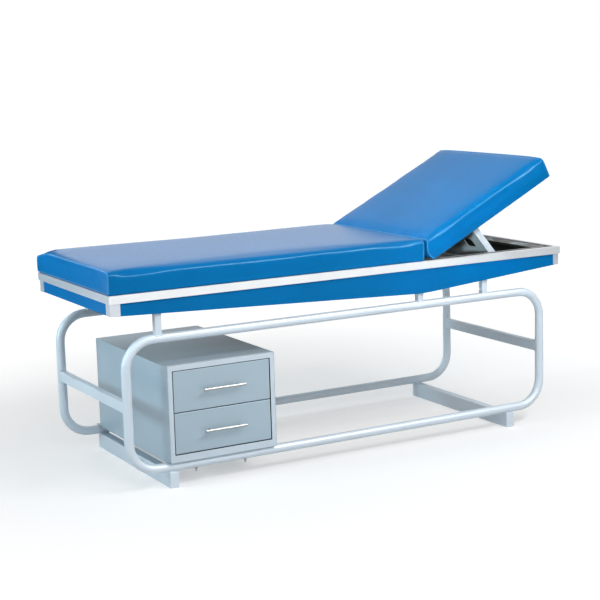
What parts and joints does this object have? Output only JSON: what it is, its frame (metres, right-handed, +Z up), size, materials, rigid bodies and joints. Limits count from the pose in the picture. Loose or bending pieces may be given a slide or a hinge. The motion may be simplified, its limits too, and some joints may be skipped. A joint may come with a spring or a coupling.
{
  "type": "examination table",
  "caption": "Padded examination table: fixed seat cushion and raising backrest on a tubular loop stand, with a drawer cabinet under its foot end.",
  "frame": {"origin": "on the floor, below the middle of the bed's length and width", "axes": "+X towards the head end along the bed, +Y towards the far side, away from the drawers, +Z up"},
  "size_m": [1.9031, 0.7261, 1.047],
  "materials": {
    "silver_paint": "satin",
    "aluminium": "satin",
    "blue_vinyl": "satin",
    "blue_skirt": "satin",
    "plywood": "matte",
    "zinc_plate": "satin",
    "cabinet_grey": "satin",
    "frame_grey": "satin",
    "stainless": "polished",
    "dark_primer": "matte"
  },
  "bodies": {
    "table": {"loop_near": "silver_paint", "side_rail_near": "dark_primer", "post_near_foot": "silver_paint", "post_near_middle": "silver_paint", "post_near_head": "silver_paint", "skirt_near": "blue_skirt", "trim_near": "aluminium", "rack_near": "zinc_plate", "corner_angle_near_foot": "aluminium", "corner_angle_near_head": "aluminium", "loop_far": "silver_paint", "side_rail_far": "dark_primer", "post_far_foot": "silver_paint", "post_far_middle": "silver_paint", "post_far_head": "silver_paint", "skirt_far": "blue_skirt", "trim_far": "aluminium", "rack_far": "zinc_plate", "corner_angle_far_foot": "aluminium", "corner_angle_far_head": "aluminium", "foot_base_beam": "silver_paint", "foot_cross_bar": "silver_paint", "foot_rail": "dark_primer", "skirt_foot": "blue_skirt", "trim_foot": "aluminium", "head_base_beam": "silver_paint", "head_cross_bar": "silver_paint", "head_rail": "dark_primer", "skirt_head": "blue_skirt", "trim_head": "aluminium", "hinge_rail": "dark_primer", "bed_floor": "dark_primer", "cabinet_bolt_near_foot": "stainless", "cabinet_bolt_near_head": "stainless", "cabinet_bolt_far": "stainless", "seat_board": "plywood", "seat_cushion": "blue_vinyl", "hinge_fixed_leaf": "zinc_plate", "hinge_pin": "stainless", "cabinet_wrapper": "cabinet_grey", "cabinet_top": "cabinet_grey", "cabinet_bottom": "cabinet_grey", "cabinet_frame": "frame_grey", "drawer_lower_runner_foot": "zinc_plate", "drawer_lower_runner_head": "zinc_plate", "drawer_upper_runner_foot": "zinc_plate", "drawer_upper_runner_head": "zinc_plate"},
    "backrest": {"back_board": "plywood", "back_cushion": "blue_vinyl", "hinge_moving_leaf": "zinc_plate", "prop_bracket_near": "zinc_plate", "prop_bracket_far": "zinc_plate", "prop_pivot_rod": "stainless"},
    "prop": {"prop_frame": "silver_paint"},
    "drawer_upper": {"drawer_upper_front": "cabinet_grey", "drawer_upper_tray": "zinc_plate", "drawer_upper_handle": "stainless"},
    "drawer_lower": {"drawer_lower_front": "cabinet_grey", "drawer_lower_tray": "zinc_plate", "drawer_lower_handle": "stainless"}
  },
  "joints": [
    {"name": "backrest_hinge", "type": "hinge", "parent": "table", "child": "backrest", "pos_m": [0.3473, 0, 0.72], "axis": [0, -1, 0], "range_deg": [-26.7, 13.3]},
    {"name": "prop_pivot", "type": "hinge", "parent": "backrest", "child": "prop", "pos_m": [0.57699, 0, 0.79746], "axis": [0, -1, 0], "range_deg": [-38.8, 77.7]},
    {"name": "drawer_upper_slide", "type": "slide", "parent": "table", "child": "drawer_upper", "axis": [0, -1, 0], "range_m": [0, 0.36]},
    {"name": "drawer_lower_slide", "type": "slide", "parent": "table", "child": "drawer_lower", "axis": [0, -1, 0], "range_m": [0, 0.36]}
  ],
  "couplings": [
    {"joint": "prop_pivot", "follows": "backrest_hinge", "ratio": -2.9026}
  ]
}
